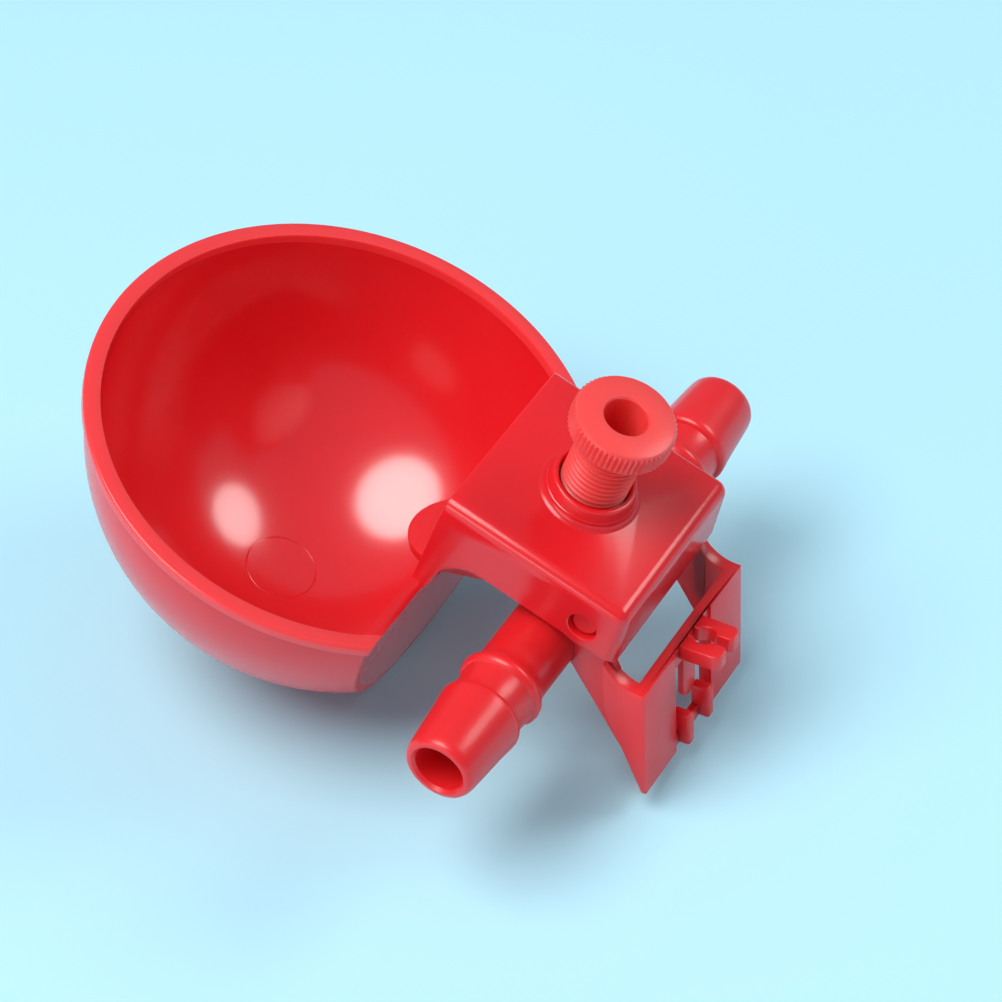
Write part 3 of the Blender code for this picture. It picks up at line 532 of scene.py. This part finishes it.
# The hub rises to the nozzle's seat, square to the lowered cup.
pipe_in_cup = cup_down.inverted() @ Vector((0, pipe_y * MM, pipe_z * MM)) / MM
seat_rise = 5.8
seat = pipe_in_cup.z + seat_rise
hub_radius, hub_foot = 4.6, pipe_in_cup.z - 3.9
hub_outline = [(0, seat - 0.5), (0.7, seat - 0.3), (0.7, seat + 1.55), (0.85, seat + 1.7), (1.3, seat + 1.7),
               (1.6, seat + 1.5), (1.8, seat), (4.4, seat), (hub_radius, seat - 0.2), (hub_radius, hub_foot),
               (0, hub_foot)]
merge_solid(valve_shell, spin_solid("valve_hub", hub_outline, 72, cup_down @ at_screw))
spout_half, spout_root_half, spout_thickness = 7.2, 5.2, 1.9
spout_shoulder, spout_centre = -38.4, -40.4
spout_root = (cup_down @ Vector((0, SCREW_Y * MM, 0))).y / MM - hub_radius
spout_outline = ([(spout_half, spout_shoulder)] + arc((0, spout_centre), spout_half, 0, -180, 40)
                 + [(-spout_half, spout_shoulder), (-spout_root_half, spout_root)]
                 + [(-spout_root_half, pipe_y), (spout_root_half, pipe_y), (spout_root_half, spout_root)])
spout = extrude_solid("spout", spout_outline, "XY", pipe_z - spout_thickness, pipe_z)
merge_solid(valve_shell, soften(spout, 0.35))

# The bore runs straight through the tee.
bore, bore_mouth, mouth_depth = 3.9, 4.3, 0.5
bore_outline = [(0, -46), (bore_mouth, -46), (bore_mouth, -tee_half), (bore, mouth_depth - tee_half),
                (bore, tee_half - mouth_depth), (bore_mouth, tee_half), (bore_mouth, 46), (0, 46)]
cut_solid(valve_shell, spin_solid("bore", bore_outline, 96, along_pipe))

# The back plate, its two cheeks and the groove that the cage wire lies in.
plate_end, plate_half, cheek_reach, cheek_rise, cheek_steps = 10.2, 15.7, 6.7, 4.0, 12
cheek_side = [(0.0, -plate_end), (0.0, plate_end)]
cheek_side += [(-cheek_reach * step / cheek_steps, plate_end + cheek_rise * (step / cheek_steps) ** 2.6)
               for step in range(1, cheek_steps + 1)]
cheek_side += [(-cheek_reach, 5.0), (-5.6, 2.0), (-0.8, -plate_end)]
plate = extrude_solid("back_plate", cheek_side, "YZ", -plate_half, plate_half)
cut_solid(plate, extrude_solid("room", box_outline(-13.3, -9, 13.3, -2), "XY", -13, 17))
cut_solid(plate, extrude_solid("tab_window", box_outline(-5.4, -7.8, 5.4, 6.2), "XZ", -5, 3))
cut_solid(plate, extrude_solid("wire_groove", box_outline(-5.7, -0.5, 5.7, 3), "XY", -13, 13))
fuse(valve_shell, soften(plate, 0.28, 2))

# The ears that carry the pivot's pins, at both sides.
ear_inside, ear_outside = 13.2, 14.3
ear_side = (arc((pivot.y / MM, pivot.z / MM), 4.2, 0, 140, 28) + arc((pipe_y, pipe_z), 4.85, 135, -24, 22)
            + [(-1.05, -10.1), (-5.0, -0.1), (-5.0, 12.2), (-7.5, 18.0)])
pin_outline = [(0, 13.73), (2.1, 13.73), (2.1, 15.3), (1.8, 15.6), (0, 15.6)]
for side in (1, -1):
    low, high = sorted((side * ear_inside, side * ear_outside))
    fuse(valve_shell, soften(extrude_solid("pivot_ear", ear_side, "YZ", low, high), 0.2, 2))
    fuse(valve_shell, spin_solid("pivot_pin", pin_outline, 48, at_pivot @ turn_to_x(side)))

# The snap clip: two hooked fingers, two stubs and the tab that presses on the wire.
for side in (1, -1):
    hook = ([(3.7, -1.2)] + arc((2.4, 4.7), 1.3, 0, 90, 10) + arc((1.6, 5.2), 0.8, 90, 180, 8)
            + arc((0, 1.9), 1.7, 60, -62, 20))
    hook.append((hook[-1][0], -1.2))
    finger = extrude_solid("clip_finger", [(side * across, up) for across, up in hook], "XY", 7.33, 10.06)
    fuse(valve_shell, soften(finger, 0.3))
    low, high = sorted((side * 2.3, side * 4.1))
    stub = extrude_solid("clip_stub", box_outline(low, -1.85, high, 1.3), "XY", -10.05, -4.0)
    fuse(valve_shell, soften(stub, 0.45))
tab_outline = [(-1.9, 8.2), (1.9, 8.2)] + arc((0, -1.3), 1.9, 0, -180, 28)
tab = extrude_solid("spring_tab", tab_outline, "XZ", -1.85, -0.7)
fuse(valve_shell, soften(tab, 0.3))
finish_moulding(valve_shell, body_red)
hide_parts("valve_body")
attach(valve_shell, "bracket")

# The adjusting screw
# A hollow thumb screw, moulded in the same red with a knurled head, that sets the spring's load.
screw_red = make_red_plastic("screw_red", (0.96, 0.075, 0.070), (0.90, 0.055, 0.052), 0.34, 60.0, 0.00008)
head_radius, core_radius = 7.78, 4.62
knurl_teeth = 60
knurl_profile = (0.0, 0.2, 0.5, 0.2)
screw_outline = [(0, 25.2), (3.1, 25.2), (3.3, 25.5), (3.3, 36.9), (3.5, 37.2), (7.0, 37.2), (7.3, 37.08),
                 (7.5, 36.8), (head_radius, 36.5), (head_radius, 33.75), (7.5, 33.45), (7.2, 33.3),
                 (4.9, 33.3), (core_radius, 33.0), (core_radius, 15.3), (4.3, 15.0), (3.7, 15.0), (3.7, 17.0),
                 (0, 17.0)]
screw = spin_solid("thumb_screw", screw_outline, knurl_teeth * len(knurl_profile))
for vertex in screw.data.vertices:
    radius = math.hypot(vertex.co.x, vertex.co.y)
    turn = math.atan2(vertex.co.y, vertex.co.x) / (2 * math.pi)
    step = round(turn * knurl_teeth * len(knurl_profile)) % len(knurl_profile)
    if radius > (head_radius - 0.08) * MM:
        press = knurl_profile[step] * MM
        vertex.co.x *= 1 - press / radius
        vertex.co.y *= 1 - press / radius


def cap_winding(piece, winding):
    """Apply a winding and close its two ends."""
    bpy.ops.object.modifier_apply(modifier=winding.name)
    bpy.ops.object.mode_set(mode="EDIT")
    bpy.ops.mesh.select_all(action="DESELECT")
    bpy.ops.mesh.select_non_manifold(extend=False)
    bpy.ops.mesh.edge_face_add()
    close_up(piece)


# The thread is a ridge wound round the core.
thread_start, thread_pitch, thread_turns = 15.9, 1.0, 17
ridge_outline = [(4.5, -0.42), (5.13, -0.1), (5.13, 0.1), (4.5, 0.42)]
ridge = draw_ring("thread_ridge", [(across, 0, up) for across, up in ridge_outline], "NOTHING")
ridge.data.transform(Matrix.Translation((0, 0, thread_start * MM)))
winding = ridge.modifiers.new("Screw", "SCREW")
winding.steps = winding.render_steps = 64
winding.screw_offset = thread_pitch * MM
winding.iterations = thread_turns
cap_winding(ridge, winding)
merge_solid(screw, ridge)
screw.data.transform(cup_place @ at_screw)
finish_moulding(screw, screw_red, 28)
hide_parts("adjusting_screw")
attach(screw, "screw")

# The plunger and its pad
# Hidden under the hood: the red plunger that the screw carries, and the soft rubber pad on its foot.
node["plunger"].material_slots[0].material = screw_red


def make_grained(name, grain_size, dark, light, smooth, dull):
    """A material whose shade and roughness vary with a fine grain."""
    material = bpy.data.materials.new(name)
    material.use_nodes = True
    nodes, links = material.node_tree.nodes, material.node_tree.links
    shader = nodes["Principled BSDF"]
    place = nodes.new("ShaderNodeTexCoord")
    grain = nodes.new("ShaderNodeTexNoise")
    grain.inputs["Scale"].default_value = grain_size
    links.new(place.outputs["Object"], grain.inputs["Vector"])
    shade = nodes.new("ShaderNodeValToRGB")
    shade.color_ramp.elements[0].color = (*dark, 1)
    shade.color_ramp.elements[1].color = (*light, 1)
    links.new(grain.outputs["Fac"], shade.inputs["Fac"])
    links.new(shade.outputs["Color"], shader.inputs["Base Color"])
    roughness = nodes.new("ShaderNodeMapRange")
    roughness.inputs["To Min"].default_value = smooth
    roughness.inputs["To Max"].default_value = dull
    links.new(grain.outputs["Fac"], roughness.inputs["Value"])
    links.new(roughness.outputs["Result"], shader.inputs["Roughness"])
    return material


pad_rubber = make_grained("pad_rubber", 900.0, (0.60, 0.58, 0.54), (0.78, 0.76, 0.72), 0.6, 0.8)
pad_rubber.node_tree.nodes["Principled BSDF"].inputs["Specular IOR Level"].default_value = 0.3
node["valve_pad"].material_slots[0].material = pad_rubber

# The return spring
# A steel coil round the plunger. Its foot stands on the valve hub, and its head under the plunger's flange.
half_turns, coil_radius, wire_radius = 11, 2.9, 0.3
foot_height, head_height = seat + 1.05, 14.65
spring_foot = cup_down @ Vector((0, SCREW_Y * MM, foot_height * MM))
spring_head = cup_place @ Vector((0, SCREW_Y * MM, head_height * MM))
spring_line = spring_head - spring_foot
wire_outline = [(across, 0, up) for across, up in arc((coil_radius, 0), wire_radius, 0, 330, 11)]
spring = draw_ring("return_coil", wire_outline, "NOTHING")
coil = spring.modifiers.new("Screw", "SCREW")
coil.angle = math.pi
coil.steps = coil.render_steps = 16
coil.screw_offset = spring_line.length / half_turns
coil.iterations = half_turns
cap_winding(spring, coil)
spring_turn = Vector((0, 0, 1)).rotation_difference(spring_line).to_matrix().to_4x4()
spring.data.transform(Matrix.Translation(spring_foot) @ spring_turn)
spring_wire = make_grained("spring_wire", 1500.0, (0.42, 0.42, 0.41), (0.66, 0.66, 0.64), 0.22, 0.4)
spring_wire.node_tree.nodes["Principled BSDF"].inputs["Metallic"].default_value = 1.0
finish_moulding(spring, spring_wire, 60)
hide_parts("return_spring")
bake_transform(spring)
